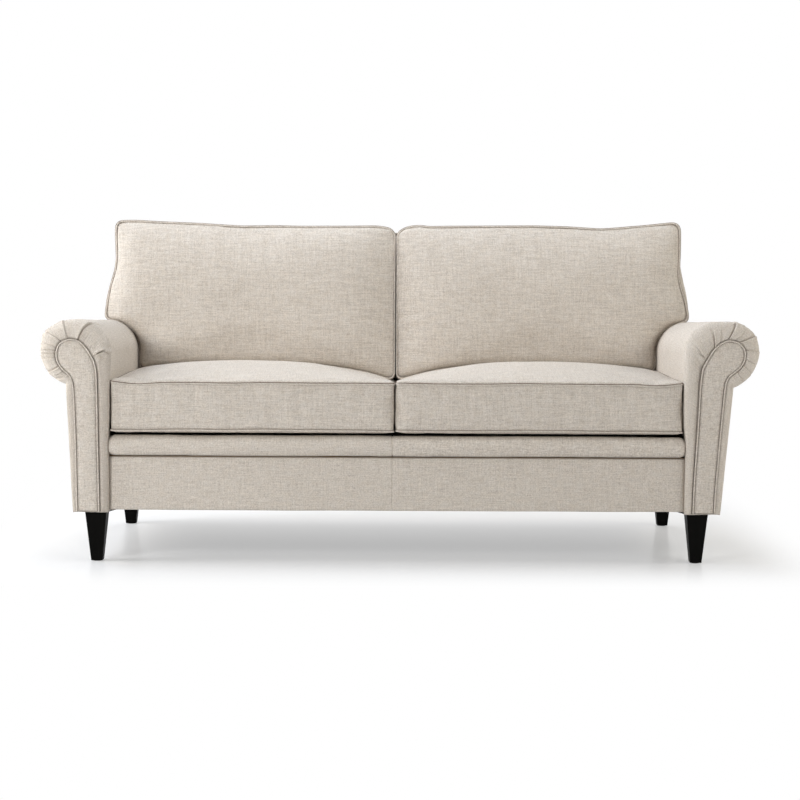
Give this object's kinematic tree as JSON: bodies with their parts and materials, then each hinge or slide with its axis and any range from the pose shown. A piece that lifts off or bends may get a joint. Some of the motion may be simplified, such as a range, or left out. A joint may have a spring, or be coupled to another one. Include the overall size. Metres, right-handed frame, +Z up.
{
  "type": "english roll arm sofa",
  "caption": "Upholstered roll arm sofa with loose seat and T-shaped back cushions, keyhole arm facings, a nosed seat edge and tapered legs on a sprung hardwood frame.",
  "frame": {"origin": "on the floor, under the middle of the sofa's overall box", "axes": "+X to the right seen from the front, -Y out of the seat towards the front, +Z up"},
  "size_m": [1.883, 0.88, 0.8976],
  "materials": {
    "upholstery": "matte",
    "lining": "matte",
    "webbing": "matte",
    "leg": "satin",
    "hardwood": "matte",
    "steel": "satin",
    "glide": "matte"
  },
  "bodies": {
    "sofa_frame": {"leg_front_left": "leg", "leg_front_right": "leg", "leg_rear_left": "leg", "leg_rear_right": "leg", "glide_front_left": "glide", "glide_front_right": "glide", "glide_rear_left": "glide", "glide_rear_right": "glide", "hanger_bolt_front_left": "steel", "hanger_bolt_front_right": "steel", "hanger_bolt_rear_left": "steel", "hanger_bolt_rear_right": "steel", "corner_block_front_left": "hardwood", "corner_block_front_right": "hardwood", "corner_block_rear_left": "hardwood", "corner_block_rear_right": "hardwood", "front_rail": "hardwood", "rear_rail": "hardwood", "side_rail_left": "hardwood", "side_rail_right": "hardwood", "centre_rail": "hardwood", "arm_front_post_left": "hardwood", "arm_front_post_right": "hardwood", "arm_rear_post_left": "hardwood", "arm_rear_post_right": "hardwood", "arm_top_rail_left": "hardwood", "arm_top_rail_right": "hardwood", "back_post_left": "hardwood", "back_post_right": "hardwood", "back_centre_post": "hardwood", "back_top_rail": "hardwood", "back_lower_rail": "hardwood", "seat_spring_1": "steel", "seat_spring_2": "steel", "seat_spring_3": "steel", "seat_spring_4": "steel", "seat_spring_5": "steel", "seat_spring_6": "steel", "seat_spring_7": "steel", "seat_spring_8": "steel", "back_webbing": "webbing", "arm_cover_left": "upholstery", "arm_cover_right": "upholstery", "arm_outer_panel_left": "upholstery", "arm_outer_panel_right": "upholstery", "arm_facing_left": "upholstery", "arm_facing_right": "upholstery", "inside_back_pad": "upholstery", "outside_back_panel": "upholstery", "back_top_border": "upholstery", "back_side_border_left": "upholstery", "back_side_border_right": "upholstery", "front_band": "upholstery", "front_nosing": "upholstery", "seat_deck": "lining", "dust_cover": "lining"},
    "seat_cushion_left": {"seat_cushion_left": "upholstery"},
    "seat_cushion_right": {"seat_cushion_right": "upholstery"},
    "back_cushion_left": {"back_cushion_left": "upholstery"},
    "back_cushion_right": {"back_cushion_right": "upholstery"}
  },
  "joints": [
    {"name": "seat_cushion_left_slide", "type": "slide", "parent": "sofa_frame", "child": "seat_cushion_left", "axis": [0, -0.9999, 0.0105], "range_m": [0, 0.7]},
    {"name": "seat_cushion_right_slide", "type": "slide", "parent": "sofa_frame", "child": "seat_cushion_right", "axis": [0, -0.9999, 0.0105], "range_m": [0, 0.7]},
    {"name": "back_cushion_left_lift", "type": "slide", "parent": "sofa_frame", "child": "back_cushion_left", "axis": [0, 0, 1], "range_m": [0, 0.42]},
    {"name": "back_cushion_right_lift", "type": "slide", "parent": "sofa_frame", "child": "back_cushion_right", "axis": [0, 0, 1], "range_m": [0, 0.42]}
  ]
}
